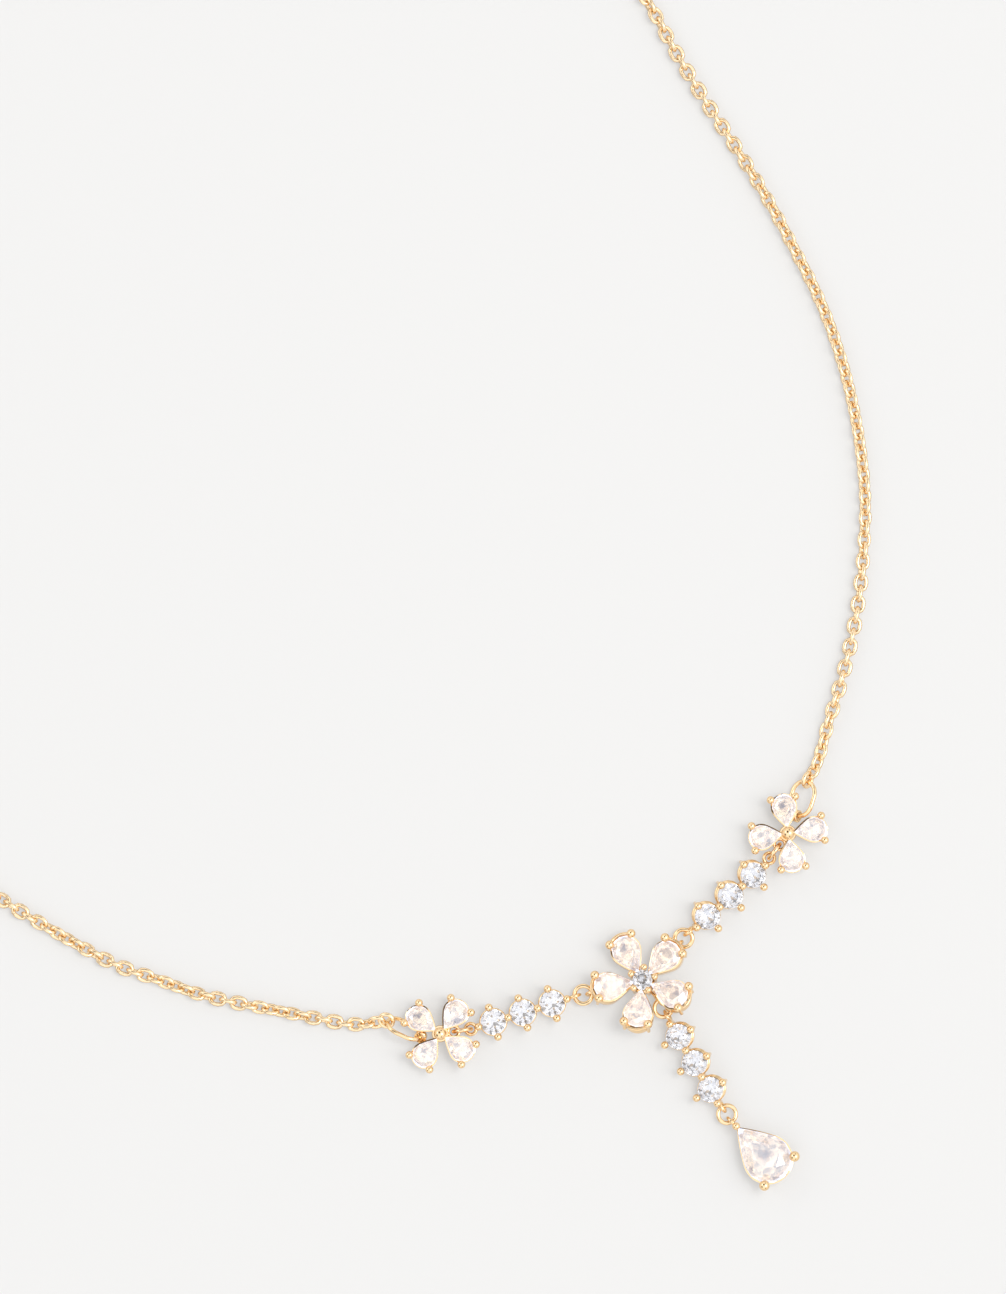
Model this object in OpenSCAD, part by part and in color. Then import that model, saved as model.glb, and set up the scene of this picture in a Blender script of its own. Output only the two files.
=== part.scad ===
// Y necklace: a cable chain, two four-petal flowers, three bars of round stones,
// a five-petal flower in the middle and a pear drop, lying as it does on a table.
// The drop points to -Y, the clasp is at the back of the loop, and the table is at z = 0.

/* [Stones] */
// Diameter of the round stones in the bars
round_w = 2.7; // [2.4:0.1:3]
// Diameter of the middle flower's centre stone
centre_w = 2.1; // [1.8:0.1:2.3]
// Width of a petal stone on the middle flower
petal_w = 3; // [2.8:0.1:3.2]
// Length of a petal stone on the middle flower
petal_l = 4.2; // [4:0.1:4.4]
// Width of a petal stone on the side flowers
leaf_w = 2.54; // [2.3:0.02:2.7]
// Length of a petal stone on the side flowers
leaf_l = 3.4; // [3.2:0.1:3.6]
// Width of the pear drop
drop_w = 5; // [4.6:0.1:5.4]
// Length of the pear drop
drop_l = 7; // [6.6:0.1:7.4]

/* [Settings] */
// Wall of the petal cups
wall = 0.18; // [0.14:0.01:0.22]
// Depth of the middle flower's cups below the girdle
petal_cup = 1.6; // [1.5:0.05:1.8]
// Depth of the side flowers' cups below the girdle
leaf_cup = 1; // [0.95:0.05:1.2]
// Depth of the drop's basket below the girdle
drop_cup = 2.3; // [2.2:0.05:2.6]
// Diameter of a prong's stem
stem_d = 0.4; // [0.34:0.02:0.44]
// Diameter of the bead at a prong's top
bead_d = 0.82; // [0.74:0.02:0.86]
// Diameter of the beads at the middle flower's petals
petal_bead_d = 0.94; // [0.86:0.02:0.98]
// Diameter of the beads round the middle flower's centre stone
centre_bead_d = 0.7; // [0.64:0.02:0.72]
// Diameter of the beads at the drop's round end
drop_bead_d = 1.1; // [0.9:0.05:1.15]
// Diameter of the gold ball in a side flower
ball_d = 1.34; // [1.2:0.02:1.4]
// Wire of the baskets' rails
rail_d = 0.34; // [0.32:0.02:0.4]
// Gap between a stone and its metal
seat_gap = 0.05; // [0.04:0.01:0.06]

/* [Eyes and rings] */
// Outer diameter of the soldered eyes
eye_d = 1.5; // [1.44:0.02:1.56]
// Wire of the soldered eyes
eye_wire = 0.36; // [0.32:0.01:0.38]
// Outer diameter of a small jump ring
ring_d = 2.3; // [2.24:0.02:2.4]
// Wire of a small jump ring
ring_wire = 0.45; // [0.4:0.01:0.48]
// Outer length of the oval rings at the chain's ends
oval_l = 4.2; // [4:0.1:4.4]
// Outer width of the oval rings at the chain's ends
oval_w = 3.2; // [3:0.1:3.3]

/* [Chain and clasp] */
// Width of the chain
chain_w = 1.6; // [1.5:0.05:1.7]
// Wire of a chain link
link_wire = 0.45; // [0.4:0.01:0.48]
// Outer diameter of the link in each oval ring
link_d = 1.9; // [1.86:0.02:2]
// Outer diameter of the clasp's ring
clasp_d = 5.5; // [5:0.1:6]
// Wire of the clasp's ring
clasp_wire = 1; // [0.9:0.02:1.04]
// Outer diameter of the clasp's eye
clasp_eye_d = 2.1; // [2:0.05:2.3]
// Wire of the clasp's eye
clasp_eye_wire = 0.5; // [0.4:0.02:0.56]

/* [Hidden] */
BARS = ["left_bar", "right_bar", "drop_bar"];
$fn = 32;

gold = "#dcae5e";
gem = "#eef2f6";

// Cut of the stones, as shares of their width or radius
crown_share = 0.16;
girdle_share = 0.03;
pavilion_share = 0.4;
table_share = 0.56;
star_share = 0.78;
lower_share = 0.28;
// How nearly straight a pear's flanks are, where 1 is straight
flank_share = 0.85;
// Where a pear's cut is centred, as a share of the way from its head to its tip
cut_centre = 0.12;

stem_r = stem_d / 2;
rail_r = rail_d / 2;
eye_r = (eye_d - eye_wire) / 2;
ring_r = (ring_d - ring_wire) / 2;
oval_r = (oval_w - ring_wire) / 2;
oval_half = (oval_l - ring_wire) / 2;
link_r = (link_d - link_wire) / 2;
clasp_r = (clasp_d - clasp_wire) / 2;
clasp_eye_r = (clasp_eye_d - clasp_eye_wire) / 2;
// Distance from a stone's edge to the axis of the stem that holds it
prong_out = seat_gap + stem_r;
// Free space between a bead and its stone's crown, and the crown's slope
bead_gap = 0.06;
crown_slope = atan(2 * crown_share / (1 - table_share));
// Height of a bead of a diameter above its stone's girdle
function bead_up(d) = (d / 2 + bead_gap - prong_out * sin(crown_slope)) / cos(crown_slope);
// How far wires and walls sink into each other where they are soldered
bite = 0.1;
// Free space between a ring and the cup above it
ring_gap = 0.22;
// Free space between a link and the wire that it hangs in
link_gap = 0.1;
// Where the middle flower lies, from the middle of the loop
flower_at = [0.3, -61.3, 0];

// Ledge that a petal sits on: its width as a share of the petal's, its drop and its thickness
ledge_share = 0.14;
ledge_drop = 0.1;
ledge_t = 0.25;
// How far a cup's rim stays under the girdle, and its wall stands out past the stone's edge
rim_drop = 0.3;
cup_out = 0.12;
// Wire that joins a petal's two prongs on the middle flower, and its drop under the girdle
bridge_r = 0.14;
bridge_drop = 0.1;

// Layout of the middle flower: petals at 72 degrees with raised ends, leaning towards lean_way
petal_turn = 13.5;
petal_slope = -8;
flower_lean = 13;
lean_way = 75;
petal_reach = 5.15;
head_reach = petal_reach - petal_w / 2;
petal_spread = 46;
centre_up = 0.42;
hub_r = 1.15;
strut_r = 0.15;
// Top of the hub and foot of the centre's prongs, as shares of the cups' depth
hub_top_share = 0.45;
centre_foot_share = 0.7;

// Layout of the side flowers: petals at 90 degrees
leaf_slope = 6;
leaf_reach = 4.1;
leaf_head = leaf_reach - leaf_w / 2;
leaf_spread = 58;
leaf_hub_r = 0.9;
leaf_hub_drop = 0.35;
leaf_hub_h = 0.6;
leaf_post_r = 0.28;
leaf_plane = 2.65;
ball_up = 0.25;
leaf_eye_reach = 1.4;
leaf_eye_drop = 1.25;

// Layout of the bars
pitch = round_w + 2 * prong_out;
upper_rail = -0.5;
lower_rail = -1.38;
// How far the rails' middles lie under the stones' edges
rail_in = 0.06;
bar_foot = lower_rail - rail_r;
bar_eye_reach = pitch + round_w / 2 + prong_out + stem_r - bite + eye_wire / 2 + eye_r;
bar_eye_z = -0.92;
bar_roll = 13;
// The drop's eye on its bar is soldered closer in
drop_bar_eye_in = 0.3;

// Layout of the drop
drop_spread = 52;
drop_head = drop_l - drop_w;
drop_rail = 0.9;
drop_slope = 2;

// Turning a vector about X, Y or Z
function about_y(a, v) = [v.x * cos(a) + v.z * sin(a), v.y, v.z * cos(a) - v.x * sin(a)];
function about_z(a, v) = [v.x * cos(a) - v.y * sin(a), v.x * sin(a) + v.y * cos(a), v.z];
function unit(v) = v / norm(v);
function level(a) = [cos(a), sin(a), 0];

// A place is an origin, a heading, a lean and the way it leans
function aim(place, v) = about_z(place[3], about_y(place[2], about_z(place[1] - place[3], v)));
function world(place, v) = place[0] + aim(place, v);
module at(place) {
    translate(place[0])
        rotate([0, 0, place[3]])
            rotate([0, place[2], 0])
                rotate([0, 0, place[1] - place[3]])
                    children();
}

// Draws children with their X along u and their Z along w, at p
module framed(p, u, w) {
    v = cross(w, u);
    multmatrix([
        [u.x, v.x, w.x, p.x],
        [u.y, v.y, w.y, p.y],
        [u.z, v.z, w.z, p.z],
        [0, 0, 0, 1]
    ]) children();
}

// The next eye along the necklace: a span away from p in the heading, at height z
function next_eye(p, heading, z, span) =
    let (rise = z - p.z)
    p + sqrt(span * span - rise * rise) * level(heading) + [0, 0, rise];

// Outline of a pear with its head centred on the origin and its tip towards -X
function pear(w, l, grow, heads, flanks) =
    let (
        r = w / 2,
        h = l - r,
        turn = asin(flank_share * r / h),
        d = (h * h - r * r) / (2 * r * (1 - flank_share)),
        c = [d * sin(turn), -d * cos(turn)],
        far = d + r + grow,
        tip = c.x - sqrt(far * far - c.y * c.y),
        first = 90 + turn,
        last = atan2(-c.y, tip - c.x),
        head_ways = [for (i = [0:heads]) first * (2 * i / heads - 1)],
        flank_ways = [for (i = [1:flanks]) first + (last - first) * i / flanks],
        flank = [for (a = flank_ways) c + far * [cos(a), sin(a)]]
    )
    concat(
        [for (a = head_ways) (r + grow) * [cos(a), sin(a)]],
        flank,
        [for (i = [flanks - 2:-1:0]) [flank[i].x, -flank[i].y]]
    );
function pear_cut(w, l) = pear(w, l, 0, 8, 4);
function pear_wall(w, l, grow) = pear(w, l, grow, 14, 4);
function round_cut(w) = [for (i = [0:15]) w / 2 * [cos(i * 22.5), sin(i * 22.5)]];

// A brilliant cut on any outline of 16 points, with the girdle's top at z = 0
module brilliant(edge, width, middle) {
    n = len(edge);
    half = n / 2;
    crown = width * crown_share;
    girdle = width * girdle_share;
    pavilion = width * pavilion_share;
    narrow = cos(360 / n);
    star_z = crown * (1 - star_share * narrow) / (1 - table_share);
    lower_z = -girdle - pavilion * (1 - lower_share * narrow);
    ring = function(k) [for (p = edge) middle + k * (p - middle)];
    tables = ring(table_share);
    stars = ring(star_share);
    lowers = ring(lower_share);
    points = concat(
        [for (k = [0:half - 1]) [tables[2 * k].x, tables[2 * k].y, crown]],
        [for (k = [0:half - 1]) [stars[2 * k + 1].x, stars[2 * k + 1].y, star_z]],
        [for (p = edge) [p.x, p.y, 0]],
        [for (p = edge) [p.x, p.y, -girdle]],
        [for (k = [0:half - 1]) [lowers[2 * k + 1].x, lowers[2 * k + 1].y, lower_z]],
        [[middle.x, middle.y, -girdle - pavilion]]
    );
    star = half;
    top = n;
    bottom = 2 * n;
    lower = 3 * n;
    culet = 3 * n + half;
    faces = concat(
        [for (k = [1:half - 2]) [0, k, k + 1]],
        [for (k = [0:half - 1]) [k, star + k, (k + 1) % half]],
        [for (k = [0:half - 1]) [k, star + (k + half - 1) % half, top + 2 * k]],
        [for (k = [0:half - 1]) [k, top + 2 * k, star + k]],
        [for (k = [0:half - 1]) [star + k, top + 2 * k, top + 2 * k + 1]],
        [for (k = [0:half - 1]) [star + k, top + 2 * k + 1, top + (2 * k + 2) % n]],
        [for (i = [0:n - 1]) [top + i, bottom + i, bottom + (i + 1) % n]],
        [for (i = [0:n - 1]) [top + i, bottom + (i + 1) % n, top + (i + 1) % n]],
        [for (k = [0:half - 1]) [lower + k, bottom + 2 * k + 1, bottom + 2 * k]],
        [for (k = [0:half - 1]) [lower + k, bottom + (2 * k + 2) % n, bottom + 2 * k + 1]],
        [for (k = [0:half - 1]) [culet, bottom + 2 * k, lower + (k + half - 1) % half]],
        [for (k = [0:half - 1]) [culet, lower + k, bottom + 2 * k]]
    );
    color(gem) polyhedron(points, [for (f = faces) [f[2], f[1], f[0]]]);
}
module pear_stone(w, l) {
    brilliant(pear_cut(w, l), w, [-cut_centre * (l - w / 2), 0]);
}
module round_stone(w) {
    brilliant(round_cut(w), w, [0, 0]);
}

// A round wire ring in the XY plane
module wire_ring(r, wire) {
    rotate_extrude() translate([r, 0]) circle(d = wire);
}
// A prong from the foot's height up to its bead
module prong(foot, d) {
    translate([0, 0, foot]) cylinder(r = stem_r, h = bead_up(d) - foot);
    translate([0, 0, bead_up(d)]) sphere(d = d);
}
// An eye whose hole faces sideways, or up when flat
module eye(flat) {
    rotate([flat ? 0 : 90, 0, 0]) wire_ring(eye_r, eye_wire);
}

// A petal's cup: wall, inner ledge and the two prongs at the round end
module cup(w, l, depth, spread, bead) {
    ledge_in = w * ledge_share;
    ledge_top = -ledge_in - ledge_drop;
    difference() {
        translate([0, 0, -depth])
            linear_extrude(depth - rim_drop) polygon(pear_wall(w, l, cup_out));
        translate([0, 0, ledge_top])
            linear_extrude(depth) polygon(pear_wall(w, l, cup_out - wall));
        translate([0, 0, -2 * depth])
            linear_extrude(3 * depth) polygon(pear_wall(w, l, -ledge_in));
        translate([0, 0, -2 * depth + ledge_top - ledge_t])
            linear_extrude(2 * depth) polygon(pear_wall(w, l, cup_out - wall));
    }
    for (side = [-1, 1])
        rotate([0, 0, side * spread]) translate([w / 2 + prong_out, 0, 0]) prong(-depth, bead);
}

// Middle flower: two eyes under its petals' ends, and one beside the hub for the drop
flower_eye_reach = petal_reach + 0.27;
left_eye_way = 157.6;
right_eye_way = 14.8;
drop_hook_reach = 2.28;
drop_hook_way = -79.8;
// Height of the cups' feet at a distance from the middle
function petal_foot(reach) = -reach * sin(petal_slope) - petal_cup * cos(petal_slope);
flower_eye_z = petal_foot(petal_reach + cup_out) - ring_gap - ring_wire / 2;
drop_hook_z = petal_foot(petal_reach - petal_l) - ring_gap - ring_wire / 2;
left_eye = flower_eye_reach * level(left_eye_way) + [0, 0, flower_eye_z];
right_eye = flower_eye_reach * level(right_eye_way) + [0, 0, flower_eye_z];
drop_eye = drop_hook_reach * level(drop_hook_way) + [0, 0, drop_hook_z];
flower_tilt = [[0, 0, 0], 0, flower_lean, lean_way];
flower_low = min([for (p = [left_eye, right_eye, drop_eye]) aim(flower_tilt, p).z]);
flower_place = [flower_at + [0, 0, eye_d / 2 - flower_low], 0, flower_lean, lean_way];

module on_petal(i) {
    rotate([0, petal_slope, petal_turn + 72 * i]) translate([head_reach, 0, 0]) children();
}
module flower_setting() {
    hub_foot = drop_hook_z + stem_r;
    // The strut meets the drop's eye halfway up its near side
    strut_z = drop_hook_z + eye_r * sin(45);
    strut_end = drop_hook_reach - eye_r * cos(45);
    color(gold) at(flower_place) {
        for (i = [0:4]) on_petal(i) {
            cup(petal_w, petal_l, petal_cup, petal_spread, petal_bead_d);
            translate([0, 0, -bridge_drop]) rotate([0, 0, -petal_spread])
                rotate_extrude(angle = 2 * petal_spread)
                    translate([petal_w / 2 + prong_out, 0]) circle(r = bridge_r);
        }
        translate([0, 0, hub_foot])
            cylinder(r = hub_r, h = -hub_foot - petal_cup * hub_top_share);
        for (i = [0:4])
            rotate([0, 0, petal_turn + 36 + 72 * i])
                translate([centre_w / 2 + prong_out, 0, centre_up])
                    prong(-petal_cup * centre_foot_share - centre_up, centre_bead_d);
        translate(left_eye) rotate([0, 0, left_eye_way]) eye(false);
        translate(right_eye) rotate([0, 0, right_eye_way]) eye(false);
        translate(drop_eye) rotate([0, 0, drop_hook_way]) eye(false);
        rotate([0, 0, drop_hook_way]) translate([hub_r - bite, 0, strut_z])
            rotate([0, 90, 0]) cylinder(r = strut_r, h = strut_end - hub_r + bite);
    }
}
module flower_petal(i) {
    at(flower_place) on_petal(i) pear_stone(petal_w, petal_l);
}
module flower_centre_stone() {
    at(flower_place) translate([0, 0, centre_up]) rotate([0, 0, petal_turn]) round_stone(centre_w);
}

// Bars: the origin is the middle stone's girdle, and +X runs away from the middle flower
bar_z = (round_w / 2 + prong_out + stem_r) * sin(bar_roll) - bar_foot * cos(bar_roll);
module bar_stone(place, i) {
    at(place) translate([pitch * (i - 2), 0, 0]) round_stone(round_w);
}
module bar_setting(place, outer_reach, flat_end) {
    rail_ring = round_w / 2 - rail_in;
    color(gold) at(place) {
        for (i = [-1:1]) translate([i * pitch, 0, 0]) {
            translate([0, 0, upper_rail]) wire_ring(rail_ring, rail_d);
            translate([0, 0, lower_rail]) wire_ring(rail_ring, rail_d);
            for (side = [-1, 1])
                translate([0, side * (round_w / 2 + prong_out), 0]) prong(bar_foot, bead_d);
        }
        for (i = [-1.5:1.5]) translate([i * pitch, 0, 0]) prong(bar_foot, bead_d);
        translate([-bar_eye_reach, 0, bar_eye_z]) eye(false);
        translate([outer_reach, 0, bar_eye_z]) eye(flat_end);
    }
}
// A bar's place, from where its inner eye hangs
function bar_place(inner, heading, lean, way) =
    let (free = [[0, 0, 0], heading, lean, way])
    [inner - aim(free, [-bar_eye_reach, 0, bar_eye_z]), heading, lean, way];
function bar_eye_height(heading, lean, way) =
    bar_z + aim([[0, 0, 0], heading, lean, way], [-bar_eye_reach, 0, bar_eye_z]).z;

span = 2 * ring_r;
left_heading = 164.5;
right_heading = 9.1;
down_heading = -92;
// Ways of the middle rings, from the flower's eyes to the bars' eyes
left_ring_way = 156;
right_ring_way = 22;
drop_ring_way = -92;
// How far the left bar leans, which lies almost level
left_roll = 2;
left_hook = world(flower_place, left_eye);
right_hook = world(flower_place, right_eye);
drop_hook = world(flower_place, drop_eye);
left_inner = next_eye(
    left_hook, left_ring_way, bar_eye_height(left_heading, left_roll, left_heading + 90), span);
right_inner = next_eye(
    right_hook, right_ring_way, bar_eye_height(right_heading, bar_roll, right_heading - 90), span);
drop_inner = next_eye(
    drop_hook, drop_ring_way, bar_eye_height(down_heading, bar_roll, down_heading - 90), span);
left_bar = bar_place(left_inner, left_heading, left_roll, left_heading + 90);
right_bar = bar_place(right_inner, right_heading, bar_roll, right_heading - 90);
drop_bar = bar_place(drop_inner, down_heading, bar_roll, down_heading - 90);
BAR_PLACES = [left_bar, right_bar, drop_bar];
OUTER_REACHES = [bar_eye_reach, bar_eye_reach, bar_eye_reach - drop_bar_eye_in];
function bar_end(i) = world(BAR_PLACES[i], [OUTER_REACHES[i], 0, bar_eye_z]);
left_end = bar_end(0);
right_end = bar_end(1);
drop_end = bar_end(2);

// Side flowers: the origin is the petals' girdle plane, and the bar comes in along bar_way
// Columns: heading from the bar, way to the bar's eye, first petal, way to the bail, lean
left_flower_row = [156, -24, 21, 155, 0];
right_flower_row = [20, 200.5, 65.5, 30, 0];
bail_reach = 2.05;
bail_drop = [1.1, 1.5];
bail_l = 0.6;
bail_d = 1.3;
bail_hole = 0.86;
function flower_station(hook, row) =
    let (
        z = leaf_plane - leaf_eye_drop,
        at_eye = next_eye(hook, row[0], z, span)
    )
    [at_eye - leaf_eye_reach * level(row[1]) + [0, 0, leaf_eye_drop], 0, row[4], 0];
left_flower = flower_station(left_end, left_flower_row);
right_flower = flower_station(right_end, right_flower_row);

module on_leaf(row, i) {
    rotate([0, leaf_slope, row[2] + 90 * i]) translate([leaf_head, 0, 0]) children();
}
// The oval ring's long way and its axis, from its heading and how far it is tipped
function oval_axis(heading, tip, side) =
    side * cos(tip) * level(heading + 90) + [0, 0, sin(tip)];
module side_flower_setting(place, row, bail, axis) {
    color(gold) {
        at(place) {
            for (i = [0:3]) on_leaf(row, i) cup(leaf_w, leaf_l, leaf_cup, leaf_spread, bead_d);
            translate([0, 0, -leaf_cup - leaf_hub_drop]) cylinder(r = leaf_hub_r, h = leaf_hub_h);
            translate([0, 0, -leaf_cup]) cylinder(r = leaf_post_r, h = leaf_cup);
            translate([0, 0, ball_up]) sphere(d = ball_d);
            translate(leaf_eye_reach * level(row[1]) - [0, 0, leaf_eye_drop])
                rotate([0, 0, row[1]]) eye(true);
        }
        difference() {
            framed(bail, unit(cross([0, 0, 1], axis)), axis)
                translate([0, 0, -bail_l / 2]) cylinder(d = bail_d, h = bail_l);
            framed(bail, unit(cross([0, 0, 1], axis)), axis)
                translate([0, 0, -bail_l]) cylinder(d = bail_hole, h = 2 * bail_l);
        }
    }
}
module leaf_stone(place, row, i) {
    at(place) on_leaf(row, i) pear_stone(leaf_w, leaf_l);
}

// Oval rings at the chain's ends
left_oval_way = 122;
right_oval_way = 40;
left_tip = 58;
right_tip = 35;
left_axis = oval_axis(left_oval_way, left_tip, 1);
right_axis = oval_axis(right_oval_way, right_tip, -1);
left_bail = world(left_flower, bail_reach * level(left_flower_row[3]) - [0, 0, bail_drop[0]]);
right_bail = world(right_flower, bail_reach * level(right_flower_row[3]) - [0, 0, bail_drop[1]]);
left_far = left_bail + 2 * oval_half * level(left_oval_way);
right_far = right_bail + 2 * oval_half * level(right_oval_way);
module half_oval(r) {
    rotate_extrude(angle = 180) translate([r, 0]) circle(d = ring_wire);
}
// An oval ring from its bail to its far end, where axis runs across it
module oval_ring(start, heading, axis) {
    straight = oval_half - oval_r;
    color(gold)
        framed(start + oval_half * level(heading), level(heading), unit(cross(level(heading), axis))) {
            translate([straight, 0, 0]) rotate([0, 0, -90]) half_oval(oval_r);
            translate([-straight, 0, 0]) rotate([0, 0, 90]) half_oval(oval_r);
            for (side = [-1, 1])
                translate([-straight, side * oval_r, 0])
                    rotate([0, 90, 0]) cylinder(d = ring_wire, h = 2 * straight);
        }
}

// Small rings: from one eye to the next, flat or standing
module small_ring(from, to, standing) {
    along = unit(to - from);
    across = unit(cross([0, 0, 1], along));
    color(gold)
        framed((from + to) / 2, along, standing ? across : unit(cross(along, across)))
            wire_ring(ring_r, ring_wire);
}
left_leaf_eye = world(left_flower, leaf_eye_reach * level(left_flower_row[1]) - [0, 0, leaf_eye_drop]);
right_leaf_eye = world(right_flower, leaf_eye_reach * level(right_flower_row[1]) - [0, 0, leaf_eye_drop]);

// Drop: the origin is the girdle at the head's centre, and the bail is past the tip
drop_heading = -79;
drop_eye_in = drop_head + drop_w / 2 + prong_out + stem_r + eye_r - bite;
drop_eye_z = -1.3;
drop_tip = drop_l - drop_w / 2 + prong_out;
drop_z = (drop_tip + stem_r) * sin(drop_slope) + drop_cup * cos(drop_slope);
// Rails of the drop's basket: how far under the girdle and how far in from the stone's edge
DROP_RAILS = [[drop_rail, 0.24], [drop_cup, 0.72]];
drop_rail_h = 0.36;
drop_strut_r = 0.16;
drop_strut_in = 0.6;
drop_strut_l = 0.8;
drop_tip_strut_l = 1.2;
drop_free = [[0, 0, 0], drop_heading, drop_slope, drop_heading + 180];
drop_to = next_eye(drop_end, down_heading, drop_z + aim(drop_free, [-drop_eye_in, 0, drop_eye_z]).z, span);
drop_place = [
    drop_to - aim(drop_free, [-drop_eye_in, 0, drop_eye_z]),
    drop_heading, drop_slope, drop_heading + 180
];
module drop_setting() {
    color(gold) at(drop_place) {
        for (rail = DROP_RAILS) translate([0, 0, -rail[0]]) difference() {
            linear_extrude(drop_rail_h) polygon(pear_wall(drop_w, drop_l, rail_d - rail[1]));
            translate([0, 0, -drop_rail_h])
                linear_extrude(3 * drop_rail_h) polygon(pear_wall(drop_w, drop_l, -rail[1]));
        }
        for (side = [-1, 1]) rotate([0, 0, side * drop_spread]) {
            translate([drop_w / 2 + prong_out, 0, 0]) prong(-drop_cup, drop_bead_d);
            translate([drop_w / 2 - drop_strut_in, 0, stem_r - drop_cup]) rotate([0, 90, 0])
                cylinder(r = drop_strut_r, h = drop_strut_l);
        }
        translate([-drop_tip, 0, 0]) prong(-drop_cup, bead_d);
        translate([-drop_tip, 0, stem_r - drop_cup])
            rotate([0, 90, 0]) cylinder(r = drop_strut_r, h = drop_tip_strut_l);
        translate([-drop_eye_in, 0, drop_eye_z]) eye(false);
    }
}
module drop_stone() {
    at(drop_place) pear_stone(drop_w, drop_l);
}

// Chain: the route's points are chosen by hand, from the ring at its front to the clasp
LEFT_ROUTE = [
    [-27.2, 12.3], [-30.3, 15], [-33.4, 18], [-36.4, 20.9], [-39.4, 24], [-42.1, 27.5],
    [-44.8, 31], [-47.1, 35], [-49.3, 39.3], [-51.4, 43.7], [-53.2, 48.2], [-54.6, 53],
    [-55.6, 58], [-56.2, 63], [-56.6, 68], [-56.7, 73], [-56.6, 78], [-56.2, 83],
    [-55.6, 88], [-54.7, 93], [-53.5, 98], [-52, 102.8], [-50.2, 107.5], [-48, 112],
    [-45.5, 116.3], [-42.6, 120.5], [-39.4, 124.4], [-36, 128], [-32.3, 131.4],
    [-28.4, 134.5], [-24.3, 137.3], [-20, 139.8], [-15.6, 141.9], [-11.2, 143.6], [-7.3, 144.8]
];
RIGHT_ROUTE = [
    [27, 8.7], [30.8, 11.9], [34.5, 15], [38, 18.3], [41.2, 21.8], [44.1, 25.5], [46.8, 29.4],
    [49.2, 33.9], [51.3, 38.8], [53, 44], [54.2, 49.4], [54.9, 55.2], [55.4, 61], [55.6, 67],
    [55.6, 73.2], [55.8, 79.4], [56.2, 85], [56.1, 90.4], [55.6, 95.7], [54.6, 100.8],
    [53.1, 105.8], [51.1, 110.6], [48.6, 115.2], [45.7, 119.5], [42.4, 123.5], [38.8, 127.2],
    [34.9, 130.6], [30.8, 133.7], [26.5, 136.4], [22, 138.8], [17.4, 140.9], [13, 142.8],
    [9, 144.3]
];
tube_r = chain_w / 2;
// A tube of eight sides along the route, whose end rings are square to it
module tube(route) {
    last = len(route) - 1;
    way = [for (i = [0:last]) unit(route[min(i + 1, last)] - route[max(i - 1, 0)])];
    points = [for (i = [0:last], k = [0:7])
        let (
            side = unit(cross([0, 0, 1], way[i])),
            up = cross(way[i], side)
        )
        route[i] + tube_r * (cos(22.5 + 45 * k) * side + sin(22.5 + 45 * k) * up)];
    sides = [for (i = [0:last - 1], k = [0:7])
        [8 * i + k, 8 * i + 8 + k, 8 * i + 8 + (k + 1) % 8, 8 * i + (k + 1) % 8]];
    polyhedron(points, concat([[7, 6, 5, 4, 3, 2, 1, 0]], sides, [[for (k = [0:7]) 8 * last + k]]));
}
// Half of the chain: from the link in the oval ring to the jump ring in the clasp's wire at hook
module chain_half(far, heading, axis, route, hook, hook_wire, hook_way) {
    first = far + (link_r - (link_wire + ring_wire) / 2 - link_gap) * level(heading);
    second = hook + (ring_r - (ring_wire + hook_wire) / 2 - link_gap) * level(hook_way);
    line = concat(
        [first + link_r * level(heading)],
        [for (p = route) flower_at + [p.x, p.y, tube_r]],
        [second + ring_r * level(hook_way)]
    );
    color(gold) {
        tube(line);
        framed(first, level(heading), axis) wire_ring(link_r, link_wire);
        framed(second, level(hook_way), unit(cross(level(hook_way), [0, 0, 1])))
            wire_ring(ring_r, ring_wire);
    }
}

// Clasp: one plain piece, with a ring for the left half and an eye for the right half
clasp_at = flower_at + [0, 145.5, ring_d / 2];
clasp_eye_x = clasp_r + (clasp_wire + clasp_eye_wire) / 2 + clasp_eye_r - bite;
left_clasp_hook = clasp_at - [clasp_r, 0, 0];
right_clasp_hook = clasp_at + [clasp_eye_x + clasp_eye_r, 0, 0];
module clasp() {
    color(gold) translate(clasp_at) {
        wire_ring(clasp_r, clasp_wire);
        translate([clasp_eye_x, 0, 0]) wire_ring(clasp_eye_r, clasp_eye_wire);
    }
}

flower_setting();
flower_centre_stone();
for (i = [1:5])
    flower_petal(i - 1);
side_flower_setting(left_flower, left_flower_row, left_bail, left_axis);  // left_flower_setting
side_flower_setting(right_flower, right_flower_row, right_bail, right_axis);  // right_flower_setting
for (i = [1:4]) {
    leaf_stone(left_flower, left_flower_row, i - 1);
    leaf_stone(right_flower, right_flower_row, i - 1);
}
for (b = [0:2]) {
    bar_setting(BAR_PLACES[b], OUTER_REACHES[b], b < 2);
    for (i = [1:3])
        bar_stone(BAR_PLACES[b], i);
}
drop_setting();
drop_stone();
small_ring(left_hook, left_inner, false);  // left_middle_ring
small_ring(right_hook, right_inner, false);  // right_middle_ring
small_ring(left_end, left_leaf_eye, true);  // left_flower_ring
small_ring(right_end, right_leaf_eye, true);  // right_flower_ring
small_ring(drop_hook, drop_inner, false);  // drop_bar_ring
small_ring(drop_end, drop_to, false);  // drop_ring
oval_ring(left_bail, left_oval_way, left_axis);  // left_chain_ring
oval_ring(right_bail, right_oval_way, right_axis);  // right_chain_ring
chain_half(left_far, left_oval_way, left_axis, LEFT_ROUTE, left_clasp_hook, clasp_wire, 180);  // chain_left
chain_half(right_far, right_oval_way, right_axis, RIGHT_ROUTE, right_clasp_hook, clasp_eye_wire, 0);  // chain_right
clasp();
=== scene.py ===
from collections import namedtuple
from itertools import chain
from math import asin, atan2, cos, pi, radians, sin, sqrt

import bpy
from mathutils import Matrix, Vector


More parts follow.
